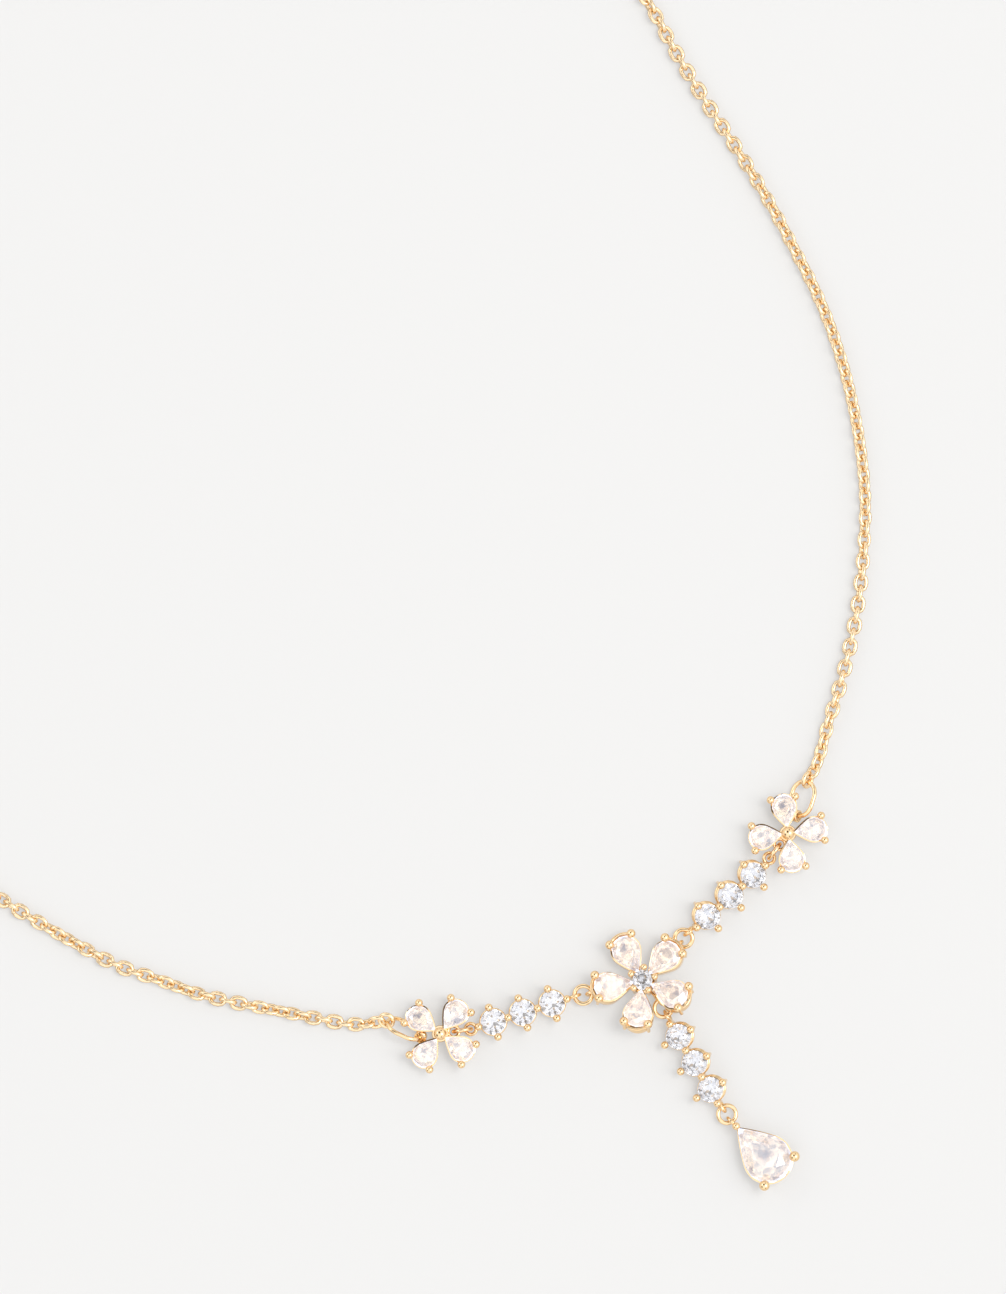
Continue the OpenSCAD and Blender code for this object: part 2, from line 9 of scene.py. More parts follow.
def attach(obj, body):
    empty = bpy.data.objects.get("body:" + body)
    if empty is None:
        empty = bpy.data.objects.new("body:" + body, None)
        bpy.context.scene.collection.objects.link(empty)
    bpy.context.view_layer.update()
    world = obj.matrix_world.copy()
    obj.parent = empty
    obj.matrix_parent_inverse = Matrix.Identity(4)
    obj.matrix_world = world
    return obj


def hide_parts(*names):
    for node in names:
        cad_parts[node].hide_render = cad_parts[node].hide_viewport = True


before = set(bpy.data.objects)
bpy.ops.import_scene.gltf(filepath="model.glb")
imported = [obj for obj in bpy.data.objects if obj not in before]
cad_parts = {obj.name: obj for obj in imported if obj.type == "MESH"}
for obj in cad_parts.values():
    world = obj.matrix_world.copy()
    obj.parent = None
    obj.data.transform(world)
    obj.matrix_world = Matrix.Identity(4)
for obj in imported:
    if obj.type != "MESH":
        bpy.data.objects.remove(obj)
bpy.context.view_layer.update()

# Sizes in millimetres, as in the part's source
MM = 0.001
ROUND_W = 2.7
CENTRE_W = 2.1
PETAL_W, PETAL_L = 3.0, 4.2
LEAF_W, LEAF_L = 2.54, 3.4
DROP_W, DROP_L = 5.0, 7.0
WALL = 0.18
RIM_DROP, CUP_OUT = 0.3, 0.12
BRIDGE_WIRE, BRIDGE_DROP = 0.28, 0.1
PETAL_CUP = 1.6
LEAF_CUP = 1.0
DROP_CUP = 2.3
STEM_R = 0.2
BEAD_R, PETAL_BEAD_R, CENTRE_BEAD_R, DROP_BEAD_R = 0.41, 0.47, 0.35, 0.55
LEDGE_SHARE, LEDGE_DROP, LEDGE_H = 0.14, 0.1, 0.25
CUP_EDGE = 0.05
BALL_R, BALL_UP, BALL_STEM_R = 0.67, 0.25, 0.28
RAIL_D = 0.34
SEAT_GAP = 0.05
EYE_R, EYE_WIRE = 0.57, 0.36
RING_R, RING_WIRE, RING_SLIT = 0.925, 0.45, 0.04
OVAL_R, OVAL_HALF = 1.375, 1.875
LINK_WIRE = 0.45
FIRST_LINK_R = 0.725
CLASP_R, CLASP_WIRE = 2.25, 1.0
CLASP_EYE_R, CLASP_EYE_WIRE = 0.8, 0.5
PRONG_OUT = SEAT_GAP + STEM_R
BEAD_GAP = 0.06
# How far soldered forms run into each other
BITE = 0.1
CLASP_EYE_REACH = CLASP_R + (CLASP_WIRE + CLASP_EYE_WIRE) / 2 + CLASP_EYE_R - BITE
LINK_GAP = 0.1
RING_GAP = 0.22

# The stones' cut: the heights of girdle and pavilion as shares of the width, and the crown's slope
GIRDLE_SHARE, PAVILION_SHARE = 0.03, 0.4
CROWN_SLOPE = radians(36.03)
# How far a pear's culet lies from its head's centre, as a share of the way to the tip
CUT_CENTRE = 0.12
# The slant at which a pear's flank leaves its head, as a share of a straight flank's
FLANK_SHARE = 0.85
# Steps round a pear's head and along each flank
HEAD_STEPS, FLANK_STEPS = 26, 10

# The middle flower, in its own frame
PETAL_TURN = radians(13.5)
PETAL_SLOPE = radians(-8)
PETAL_REACH = 5.15
PETAL_SPREAD = radians(46)
CENTRE_UP = 0.42
HUB_R = 1.15
STRUT_R = 0.15
FLOWER_EYE_REACH = PETAL_REACH + 0.27
# The hub's top and its prongs' feet, as shares of the petal cups' depth
HUB_TOP, HUB_PRONG_FOOT = 0.45, 0.7


def eye_height(reach):
    """Height of an eye whose ring stays clear of the petal cups' feet"""
    return -reach * sin(PETAL_SLOPE) - PETAL_CUP * cos(PETAL_SLOPE) - RING_GAP - RING_WIRE / 2


END_EYE_Z = eye_height(PETAL_REACH + CUP_OUT)
DROP_HOOK_Z = eye_height(PETAL_REACH - PETAL_L)
# Reach, way and height of each eye
FLOWER_EYES = {
    "left": (FLOWER_EYE_REACH, radians(157.6), END_EYE_Z),
    "right": (FLOWER_EYE_REACH, radians(14.8), END_EYE_Z),
    "drop": (2.28, radians(-79.8), DROP_HOOK_Z),
}

# The side flowers
LEAF_SPREAD = radians(58)
LEAF_SLOPE = radians(6)
LEAF_REACH = 4.1
LEAF_HEAD = LEAF_REACH - LEAF_W / 2
LEAF_HUB_R, LEAF_HUB_DROP, LEAF_HUB_H = 0.9, 0.35, 0.6
LEAF_EYE_REACH, LEAF_EYE_DROP = 1.4, 1.25
BAIL_REACH, BAIL_L, BAIL_R, BAIL_HOLE_R, BAIL_LIP = 2.05, 0.6, 0.65, 0.43, 0.06
# Ways to the bar's eye and the bail, the bail's drop, and the oval ring's heading, tip and side
SideFlower = namedtuple("SideFlower", "eye_way bail_way bail_drop heading tip hand")
SIDE_FLOWERS = {
    "left": SideFlower(radians(-24), radians(155), 1.1, radians(122), radians(58), 1),
    "right": SideFlower(radians(200.5), radians(30), 1.5, radians(40), radians(35), -1),
}

# The bars and the drop
BARS = ("left_bar", "right_bar", "drop_bar")
PITCH = ROUND_W + 2 * PRONG_OUT
UPPER_RAIL, LOWER_RAIL = -0.5, -1.38
RAIL_IN = 0.06
BAR_FOOT = LOWER_RAIL - RAIL_D / 2
BAR_EYE_REACH = PITCH + ROUND_W / 2 + PRONG_OUT + STEM_R - BITE + EYE_WIRE / 2 + EYE_R
DROP_BAR_EYE_IN = 0.3
OUTER_REACHES = {
    "left_bar": BAR_EYE_REACH,
    "right_bar": BAR_EYE_REACH,
    "drop_bar": BAR_EYE_REACH - DROP_BAR_EYE_IN,
}
BAR_EYE_Z = -0.92
DROP_SPREAD = radians(52)
DROP_TIP = DROP_L - DROP_W / 2 + PRONG_OUT
DROP_EYE_IN = DROP_TIP + STEM_R + EYE_R - BITE
DROP_EYE_Z = -1.3
# The drop's rails: how far under the girdle, and how far in from the stone's edge
DROP_RAILS = ((0.9, 0.24), (DROP_CUP, 0.72))
DROP_RAIL_H, DROP_RAIL_EDGE = 0.36, 0.11
ROD_R, SIDE_ROD_L, TIP_ROD_L, SIDE_ROD_IN = 0.16, 0.8, 1.2, 0.6

# The chain's routes, flowers to clasp, measured from the middle flower
CHAIN_Z = 0.8
CLASP_AT = Vector((0, 145.5, 1.15))
LEFT_ROUTE = (
    (-27.2, 12.3), (-30.3, 15), (-33.4, 18), (-36.4, 20.9), (-39.4, 24), (-42.1, 27.5),
    (-44.8, 31), (-47.1, 35), (-49.3, 39.3), (-51.4, 43.7), (-53.2, 48.2), (-54.6, 53),
    (-55.6, 58), (-56.2, 63), (-56.6, 68), (-56.7, 73), (-56.6, 78), (-56.2, 83),
    (-55.6, 88), (-54.7, 93), (-53.5, 98), (-52, 102.8), (-50.2, 107.5), (-48, 112),
    (-45.5, 116.3), (-42.6, 120.5), (-39.4, 124.4), (-36, 128), (-32.3, 131.4),
    (-28.4, 134.5), (-24.3, 137.3), (-20, 139.8), (-15.6, 141.9), (-11.2, 143.6), (-7.3, 144.8),
)
RIGHT_ROUTE = (
    (27, 8.7), (30.8, 11.9), (34.5, 15), (38, 18.3), (41.2, 21.8), (44.1, 25.5), (46.8, 29.4),
    (49.2, 33.9), (51.3, 38.8), (53, 44), (54.2, 49.4), (54.9, 55.2), (55.4, 61), (55.6, 67),
    (55.6, 73.2), (55.8, 79.4), (56.2, 85), (56.1, 90.4), (55.6, 95.7), (54.6, 100.8),
    (53.1, 105.8), (51.1, 110.6), (48.6, 115.2), (45.7, 119.5), (42.4, 123.5), (38.8, 127.2),
    (34.9, 130.6), (30.8, 133.7), (26.5, 136.4), (22, 138.8), (17.4, 140.9), (13, 142.8),
    (9, 144.3),
)
# How far the chain has rolled about its line: millimetres from its front end, and degrees
LEFT_ROLLS = (
    (0, -45), (5.5, 0), (11, 38), (17, 92), (23, 140), (28.5, 182), (36, 228), (40, 268),
    (60, 420), (110, 700), (200, 1200),
)
RIGHT_ROLLS = (
    (0, -50), (12, -6), (19, 6), (30, 38), (48, 45), (62, 52), (75, 84), (82, 94),
    (92, 130), (130, 330), (220, 800),
)
LINK_L, LINK_W = 2.05, 1.6
LINK_PITCH = 1.13
# From each end of the line to the middle of the nearest small link
FRONT_LINK_IN, BACK_LINK_IN = 1.06, 1.2


# Camera: the photograph's view, almost straight down, which is PICTURE_HEIGHT tall at the necklace
SENSOR_HEIGHT = 36
PICTURE_UP = Vector((0.5446, 0.8387, 0))
PICTURE_RIGHT = Vector((0.8387, -0.5446, 0))
CAMERA_TARGET = Vector((7.1, -24.24, 0))
CAMERA_LEAN = radians(3)
CAMERA_FAR = 900
PICTURE_HEIGHT = 134.8


def add_camera():
    towards = cos(CAMERA_LEAN) * Vector((0, 0, 1)) - sin(CAMERA_LEAN) * PICTURE_UP
    data = bpy.data.cameras.new("camera")
    data.sensor_fit = "VERTICAL"
    data.sensor_height = SENSOR_HEIGHT
    data.lens = SENSOR_HEIGHT * CAMERA_FAR / PICTURE_HEIGHT
    data.clip_start = 0.01
    camera = bpy.data.objects.new("camera", data)
    bpy.context.scene.collection.objects.link(camera)
    up = towards.cross(PICTURE_RIGHT)
    turn = Matrix((PICTURE_RIGHT, up, towards)).transposed().to_4x4()
    camera.matrix_world = Matrix.Translation((CAMERA_TARGET + CAMERA_FAR * towards) * MM) @ turn
    bpy.context.scene.camera = camera


# Places, in millimetres
def level(way):
    return Vector((cos(way), sin(way), 0))


def framed(origin, along, normal):
    """A place whose X runs along and whose Z is the normal"""
    across = normal.cross(along)
    return Matrix.Translation(origin) @ Matrix((along, across, normal)).transposed().to_4x4()


def stone_points(name):
    return [vertex.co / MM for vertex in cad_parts[name].data.vertices]


def table_normal(name):
    """The way that a stone's table faces, which is its largest flat"""
    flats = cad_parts[name].data.polygons
    best = max(flats, key=lambda one: sum(f.area for f in flats if f.normal.dot(one.normal) > 0.9999))
    return best.normal.normalized()


def girdle_middle(name, width):
    """The point over the culet at the girdle's height"""
    normal = table_normal(name)
    culet = min(stone_points(name), key=lambda p: p.dot(normal))
    return culet + normal * width * (GIRDLE_SHARE + PAVILION_SHARE)


def pear_seat(name, width, length):
    """A pear stone's place: its head's centre, with X from tip to head"""
    normal = table_normal(name)
    middle = girdle_middle(name, width)
    flat = [p - normal * (p - middle).dot(normal) for p in stone_points(name)]
    tip = max(flat, key=lambda p: (p - middle).length)
    along = (middle - tip).normalized()
    return framed(middle + along * CUT_CENTRE * (length - width / 2), along, normal)


def bar_seat(bar):
    """A bar's place: the middle stone's girdle, with X away from the middle flower"""
    first, middle, last = (girdle_middle(f"{bar}_stone_{i}", ROUND_W) for i in (1, 2, 3))
    return framed(middle, (last - first).normalized(), table_normal(f"{bar}_stone_2"))


# Modelling helpers: pieces are modelled in millimetres in their own frame, then put in place
def select_only(*pieces):
    if bpy.context.object and bpy.context.object.mode != "OBJECT":
        bpy.ops.object.mode_set(mode="OBJECT")
    bpy.ops.object.select_all(action="DESELECT")
    for piece in pieces:
        piece.select_set(True)
    if pieces:
        bpy.context.view_layer.objects.active = pieces[0]


def edit(piece, pick=None):
    """Opens a piece in edit mode with the picked points selected, or all of them"""
    select_only(piece)
    for part in chain(piece.data.polygons, piece.data.edges):
        part.select = False
    for vertex in piece.data.vertices:
        vertex.select = pick is None or bool(pick(vertex))
    bpy.ops.object.mode_set(mode="EDIT")
    bpy.ops.mesh.select_mode(type="VERT")
    if pick is None:
        bpy.ops.mesh.select_all(action="SELECT")


def leave():
    """Closes edit mode with every face turned outwards"""
    bpy.ops.mesh.select_all(action="SELECT")
    bpy.ops.mesh.normals_make_consistent(inside=False)
    bpy.ops.object.mode_set(mode="OBJECT")
    return bpy.context.object


def put(piece, place):
    """Bakes a place into a piece's mesh"""
    select_only(piece)
    piece.matrix_world = place
    bpy.ops.object.transform_apply(location=True, rotation=True, scale=True)
    return piece


def copy_at(pattern, place):
    twin = pattern.copy()
    twin.data = pattern.data.copy()
    bpy.context.scene.collection.objects.link(twin)
    return put(twin, place)


def throw_away(*pieces):
    for piece in pieces:
        bpy.data.meshes.remove(piece.data)


def soften(piece, width, angle):
    """Rounds the edges of a piece that turn by more than an angle"""
    select_only(piece)
    bevel = piece.modifiers.new("edges", "BEVEL")
    bevel.width = width
    bevel.segments = 2
    bevel.limit_method = "ANGLE"
    bevel.angle_limit = angle
    bpy.ops.object.modifier_apply(modifier="edges")
    return piece


def joined(name, parts, place=None, sharp=radians(40)):
    """One piece from its parts, at its place in metres, smooth but for its sharp edges"""
    select_only(*parts)
    if len(parts) > 1:
        bpy.ops.object.join()
    piece = bpy.context.object
    piece.name = name
    piece.data.name = name
    put(piece, Matrix.Scale(MM, 4) @ (place or Matrix()))
    bpy.ops.object.shade_smooth_by_angle(angle=sharp)
    return piece


def turned(profile, sides):
    """A closed form turned about Z through pairs of radius and height"""
    select_only()
    radius, height = profile[0]
    bpy.ops.mesh.primitive_circle_add(
        vertices=sides, radius=radius, fill_type="NGON", location=(0, 0, 0)
    )
    piece = bpy.context.object
    edit(piece)
    bpy.ops.transform.translate(value=(0, 0, height))
    for (r0, z0), (r1, z1) in zip(profile, profile[1:]):
        bpy.ops.mesh.extrude_region_move(TRANSFORM_OT_translate={"value": (0, 0, z1 - z0)})
        bpy.ops.transform.resize(value=(r1 / r0, r1 / r0, 1), center_override=(0, 0, z1))
    return leave()


def ball_profile(radius, height, first, last, steps):
    """Pairs of radius and height over a ball from one latitude to another"""
    turns = [first + (last - first) * i / steps for i in range(steps + 1)]
    return [(radius * cos(t), height + radius * sin(t)) for t in turns]


def wire_start(radius, wire, sides):
    """The open round end of a wire, at -X, square to Y"""
    select_only()
    bpy.ops.mesh.primitive_circle_add(
        vertices=sides, radius=wire / 2, location=(-radius, 0, 0), rotation=(pi / 2, 0, 0)
    )
    piece = bpy.context.object
    bpy.ops.object.transform_apply(location=True, rotation=True, scale=True)
    edit(piece)
    return piece


def wire_ring(radius, wire, steps, sides):
    """A closed wire ring in the XY plane"""
    wire_start(radius, wire, sides)
    bpy.ops.mesh.spin(
        steps=steps, angle=2 * pi, center=(0, 0, 0), axis=(0, 0, 1), use_auto_merge=True
    )
    bpy.ops.mesh.select_all(action="SELECT")
    bpy.ops.mesh.remove_doubles(threshold=0.001)
    return leave()


def jump_ring():
    """A wire bent into a ring in the XY plane, whose two cut ends almost meet at -X"""
    piece = wire_start(RING_R, RING_WIRE, 16)
    bpy.ops.mesh.spin(steps=48, angle=2 * pi - RING_SLIT / RING_R, center=(0, 0, 0), axis=(0, 0, 1))
    bpy.ops.mesh.select_all(action="SELECT")
    bpy.ops.mesh.fill_holes(sides=0)
    leave()
    return soften(piece, RING_WIRE * 0.1, radians(60))


def wire_arc(radius, wire, spread):
    """A wire bent to an arc round +X, with closed ends"""
    piece = wire_start(radius, wire, 12)
    bpy.ops.mesh.spin(steps=16, angle=2 * spread, center=(0, 0, 0), axis=(0, 0, 1))
    bpy.ops.mesh.select_all(action="SELECT")
    bpy.ops.mesh.fill_holes(sides=0)
    leave()
    return put(piece, Matrix.Rotation(spread - pi, 4, "Z"))


def oval_ring(half_l, half_w, wire, steps, sides):
    """An oval wire ring in the XY plane, long along X, to the wire's middle"""
    straight = half_l - half_w
    select_only()
    bpy.ops.mesh.primitive_circle_add(
        vertices=sides, radius=wire / 2, location=(straight, -half_w, 0), rotation=(0, pi / 2, 0)
    )
    piece = bpy.context.object
    bpy.ops.object.transform_apply(location=True, rotation=True, scale=True)
    edit(piece)
    bpy.ops.mesh.spin(steps=steps, angle=pi, center=(straight, 0, 0), axis=(0, 0, -1))
    bpy.ops.mesh.extrude_edges_move(TRANSFORM_OT_translate={"value": (-2 * straight, 0, 0)})
    bpy.ops.mesh.spin(steps=steps, angle=pi, center=(-straight, 0, 0), axis=(0, 0, -1))
    bpy.ops.mesh.select_all(action="DESELECT")
    bpy.ops.mesh.select_non_manifold()
    bpy.ops.mesh.bridge_edge_loops()
    return leave()


def bridged(loops):
    """Loops of equally many points, bridged one to the next and the last to the first"""
    count = len(loops[0])
    select_only()
    bpy.ops.mesh.primitive_circle_add(vertices=count, radius=1, location=(0, 0, 0))
    piece = bpy.context.object
    bpy.ops.object.mode_set(mode="EDIT")
    for _ in loops[1:]:
        bpy.ops.mesh.primitive_circle_add(vertices=count, radius=1, location=(0, 0, 0))
    bpy.ops.object.mode_set(mode="OBJECT")
    for vertex, point in zip(piece.data.vertices, chain(*loops)):
        vertex.co = point
    for i in range(len(loops)):
        pair = (i, (i + 1) % len(loops))
        edit(piece, lambda vertex: vertex.index // count in pair)
        bpy.ops.mesh.bridge_edge_loops()
        bpy.ops.object.mode_set(mode="OBJECT")
    edit(piece)
    return leave()


def pear_line(width, length, grow):
    """A pear's outline grown by a distance, with its head at the origin and its tip at -X"""
    r = width / 2
    h = length - r
    turn = asin(FLANK_SHARE * r / h)
    d = (h * h - r * r) / (2 * r * (1 - FLANK_SHARE))
    cx, cy = d * sin(turn), -d * cos(turn)
    far = d + r + grow
    tip = cx - sqrt(far * far - cy * cy)
    first = pi / 2 + turn
    last = atan2(-cy, tip - cx)
    swing = [first + (last - first) * i / FLANK_STEPS for i in range(1, FLANK_STEPS + 1)]
    flank = [(cx + far * cos(a), cy + far * sin(a)) for a in swing]
    head = [first * (2 * i / HEAD_STEPS - 1) for i in range(HEAD_STEPS + 1)]
    return (
        [((r + grow) * cos(a), (r + grow) * sin(a)) for a in head]
        + flank
        + [(x, -y) for x, y in reversed(flank[:-1])]
    )


def pear_wall(width, length, section, bevel):
    """A closed wall round a pear, from its section as pairs of growth and height"""
    loops = [[(x, y, z) for x, y in pear_line(width, length, grow)] for grow, z in section]
    return soften(bridged(loops), bevel, radians(50))


# Sub-parts of the settings
def prong(foot, bead):
    """A prong from its foot up to its polished bead"""
    waist = asin(STEM_R / bead)
    up = (bead + BEAD_GAP - PRONG_OUT * sin(CROWN_SLOPE)) / cos(CROWN_SLOPE)
    neck = up - bead * cos(waist)
    return turned(
        [(STEM_R * 0.75, foot), (STEM_R * 0.96, foot + 0.05), (STEM_R, foot + 0.12)]
        + [(STEM_R, neck - 0.1), (STEM_R * 1.06, neck - 0.02)]
        + ball_profile(bead, up, waist - pi / 2 + 0.18, radians(82), 11)
        + [(0.012, up + bead)],
        20,
    )


def cup(width, length, depth, spread, bead):
    """A petal's cup, with the ledge that the stone sits on and two prongs at the round end"""
    ledge_in = width * LEDGE_SHARE
    ledge_top = -ledge_in - LEDGE_DROP
    ledge_foot = ledge_top - LEDGE_H
    inner = CUP_OUT - WALL
    section = (
        (CUP_OUT, -RIM_DROP), (CUP_OUT, -depth), (inner, -depth), (inner, ledge_foot),
        (-ledge_in, ledge_foot), (-ledge_in, ledge_top), (inner, ledge_top), (inner, -RIM_DROP),
    )
    wall = pear_wall(width, length, section, CUP_EDGE)
    pattern = prong(-depth, bead)
    out = width / 2 + PRONG_OUT
    prongs = [copy_at(pattern, Matrix.Translation(out * level(side * spread))) for side in (-1, 1)]
    throw_away(pattern)
    select_only(wall, *prongs)
    bpy.ops.object.join()
    return wall


def eye_at(point, way, flat):
    """A soldered eye at a point, standing along its way or flat"""
    ring = wire_ring(EYE_R, EYE_WIRE, 28, 12)
    turn = Matrix.Rotation(way, 4, "Z") @ Matrix.Rotation(0 if flat else pi / 2, 4, "X")
    return put(ring, Matrix.Translation(point) @ turn)


def flower_place():
    """The middle flower's place, from its centre stone and first petal"""
    normal = table_normal("flower_centre_stone")
    petal = pear_seat("flower_petal_1", PETAL_W, PETAL_L).col[0].to_3d()
    petal = (petal - normal * petal.dot(normal)).normalized()
    along = Matrix.Rotation(-PETAL_TURN, 3, normal) @ petal
    return framed(girdle_middle("flower_centre_stone", CENTRE_W) - CENTRE_UP * normal, along, normal)


def flower_eye(which):
    reach, way, height = FLOWER_EYES[which]
    return reach * level(way) + Vector((0, 0, height))


def leaf_eye(side):
    return LEAF_EYE_REACH * level(SIDE_FLOWERS[side].eye_way) - Vector((0, 0, LEAF_EYE_DROP))


def leaf_bail(side):
    flower = SIDE_FLOWERS[side]
    return BAIL_REACH * level(flower.bail_way) - Vector((0, 0, flower.bail_drop))


def side_flower_place(side):
    """A side flower's place, level, from its four petals"""
    seats = [pear_seat(f"{side}_petal_{i}", LEAF_W, LEAF_L) for i in range(1, 5)]
    middle = sum((seat.translation for seat in seats), Vector()) / 4
    return Matrix.Translation(middle + Vector((0, 0, LEAF_HEAD * sin(LEAF_SLOPE))))


def make_flower_setting(place):
    home = place.inverted()
    bridge = wire_arc(PETAL_W / 2 + PRONG_OUT, BRIDGE_WIRE, PETAL_SPREAD)
    pattern = cup(PETAL_W, PETAL_L, PETAL_CUP, PETAL_SPREAD, PETAL_BEAD_R)
    select_only(pattern, put(bridge, Matrix.Translation((0, 0, -BRIDGE_DROP))))
    bpy.ops.object.join()
    parts = [
        copy_at(pattern, home @ pear_seat(f"flower_petal_{i}", PETAL_W, PETAL_L)) for i in range(1, 6)
    ]
    throw_away(pattern)
    foot = DROP_HOOK_Z + STEM_R
    top = -PETAL_CUP * HUB_TOP
    parts.append(turned(
        [(HUB_R - 0.12, foot), (HUB_R - 0.03, foot + 0.04), (HUB_R, foot + 0.12)]
        + [(HUB_R, top - 0.25), (HUB_R - 0.06, top - 0.08), (HUB_R - 0.3, top)],
        36,
    ))
    pattern = prong(-PETAL_CUP * HUB_PRONG_FOOT - CENTRE_UP, CENTRE_BEAD_R)
    out = CENTRE_W / 2 + PRONG_OUT
    for i in range(5):
        way = PETAL_TURN + radians(36 + 72 * i)
        parts.append(copy_at(pattern, Matrix.Translation(out * level(way) + Vector((0, 0, CENTRE_UP)))))
    throw_away(pattern)
    for which, (_, way, _) in FLOWER_EYES.items():
        parts.append(eye_at(flower_eye(which), way, False))
    reach, way, height = FLOWER_EYES["drop"]
    start = HUB_R - BITE
    strut = turned([(STRUT_R, 0), (STRUT_R, reach - EYE_R * cos(pi / 4) - start)], 14)
    lift = Vector((0, 0, height + EYE_R * sin(pi / 4)))
    lie = Matrix.Rotation(way, 4, "Z") @ Matrix.Rotation(pi / 2, 4, "Y")
    parts.append(put(strut, Matrix.Translation(start * level(way) + lift) @ lie))
    return joined("flower_setting_dressed", parts, place)


def make_bar_setting(bar, place, flat_end):
    rail = wire_ring(ROUND_W / 2 - RAIL_IN, RAIL_D, 44, 12)
    pattern = prong(BAR_FOOT, BEAD_R)
    parts = []
    for i in (-1, 0, 1):
        for height in (UPPER_RAIL, LOWER_RAIL):
            parts.append(copy_at(rail, Matrix.Translation((i * PITCH, 0, height))))
        for side in (-1, 1):
            out = side * (ROUND_W / 2 + PRONG_OUT)
            parts.append(copy_at(pattern, Matrix.Translation((i * PITCH, out, 0))))
    for i in (-1.5, -0.5, 0.5, 1.5):
        parts.append(copy_at(pattern, Matrix.Translation((i * PITCH, 0, 0))))
    throw_away(rail, pattern)
    parts.append(eye_at(Vector((-BAR_EYE_REACH, 0, BAR_EYE_Z)), 0, False))
    parts.append(eye_at(Vector((OUTER_REACHES[bar], 0, BAR_EYE_Z)), 0, flat_end))
    return joined(f"{bar}_setting_dressed", parts, place)


def oval_axis(side):
    """The way that the bail's tube runs, through which the oval ring hangs"""
    flower = SIDE_FLOWERS[side]
    sideways = flower.hand * cos(flower.tip) * level(flower.heading + pi / 2)
    return sideways + Vector((0, 0, sin(flower.tip)))


def make_side_flower_setting(side, place):
    home = place.inverted()
    pattern = cup(LEAF_W, LEAF_L, LEAF_CUP, LEAF_SPREAD, BEAD_R)
    parts = [
        copy_at(pattern, home @ pear_seat(f"{side}_petal_{i}", LEAF_W, LEAF_L)) for i in range(1, 5)
    ]
    throw_away(pattern)
    foot = -LEAF_CUP - LEAF_HUB_DROP
    parts.append(turned(
        [(LEAF_HUB_R - 0.1, foot), (LEAF_HUB_R - 0.02, foot + 0.06)]
        + [(LEAF_HUB_R, foot + LEAF_HUB_H / 2), (LEAF_HUB_R - 0.1, foot + LEAF_HUB_H)],
        32,
    ))
    neck = asin(BALL_STEM_R / BALL_R)
    neck_z = BALL_UP - BALL_R * cos(neck)
    parts.append(turned(
        [(BALL_STEM_R, -LEAF_CUP), (BALL_STEM_R, neck_z - 0.06), (BALL_STEM_R + 0.03, neck_z)]
        + ball_profile(BALL_R, BALL_UP, neck - pi / 2 + 0.15, radians(84), 16)
        + [(0.02, BALL_UP + BALL_R)],
        32,
    ))
    parts.append(eye_at(leaf_eye(side), SIDE_FLOWERS[side].eye_way, True))
    parts.append(make_bail(leaf_bail(side), oval_axis(side)))
    return joined(f"{side}_flower_setting_dressed", parts, place)


def make_bail(point, axis):
    """A short polished tube along an axis"""
    half = BAIL_L / 2
    shoulder = half - BAIL_LIP
    inner, outer = BAIL_HOLE_R, BAIL_R
    section = (
        (inner, shoulder), (inner + BAIL_LIP, half), (outer - BAIL_LIP, half), (outer, shoulder),
        (outer, -shoulder), (outer - BAIL_LIP, -half), (inner + BAIL_LIP, -half), (inner, -shoulder),
    )
    turns = [2 * pi * i / 32 for i in range(32)]
    tube = bridged([[(r * cos(t), r * sin(t), z) for t in turns] for r, z in section])
    along = Vector((0, 0, 1)).cross(axis).normalized()
    return put(tube, framed(point, along, axis))


def make_drop_setting(place):
    parts = []
    for under, inward in DROP_RAILS:
        section = (
            (RAIL_D - inward, -under), (RAIL_D - inward, DROP_RAIL_H - under),
            (-inward, DROP_RAIL_H - under), (-inward, -under),
        )
        parts.append(pear_wall(DROP_W, DROP_L, section, DROP_RAIL_EDGE))
    pattern = prong(-DROP_CUP, DROP_BEAD_R)
    rod = turned([(ROD_R, 0), (ROD_R, SIDE_ROD_L)], 14)
    lie = Matrix.Rotation(pi / 2, 4, "Y")
    foot = Vector((0, 0, STEM_R - DROP_CUP))
    rod_start = foot + Vector((DROP_W / 2 - SIDE_ROD_IN, 0, 0))
    for side in (-1, 1):
        turn = Matrix.Rotation(side * DROP_SPREAD, 4, "Z")
        parts.append(copy_at(pattern, turn @ Matrix.Translation((DROP_W / 2 + PRONG_OUT, 0, 0))))
        parts.append(copy_at(rod, turn @ Matrix.Translation(rod_start) @ lie))
    parts.append(put(prong(-DROP_CUP, BEAD_R), Matrix.Translation((-DROP_TIP, 0, 0))))
    throw_away(pattern, rod)
    rod = turned([(ROD_R, 0), (ROD_R, TIP_ROD_L)], 14)
    parts.append(put(rod, Matrix.Translation(foot - Vector((DROP_TIP, 0, 0))) @ lie))
    parts.append(eye_at(Vector((-DROP_EYE_IN, 0, DROP_EYE_Z)), 0, False))
    return joined("drop_setting_dressed", parts, place)


def make_small_ring(name, start, end, standing):
    along = (end - start).normalized()
    across = Vector((0, 0, 1)).cross(along).normalized()
    axis = across if standing else along.cross(across).normalized()
    return joined(name, [jump_ring()], framed((start + end) / 2, along, axis))


def make_oval(side, bail):
    heading = level(SIDE_FLOWERS[side].heading)
    across = heading.cross(oval_axis(side)).normalized()
    ring = oval_ring(OVAL_HALF, OVAL_R, RING_WIRE, 22, 16)
    return joined(f"{side}_chain_ring_dressed", [ring], framed(bail + OVAL_HALF * heading, heading, across))


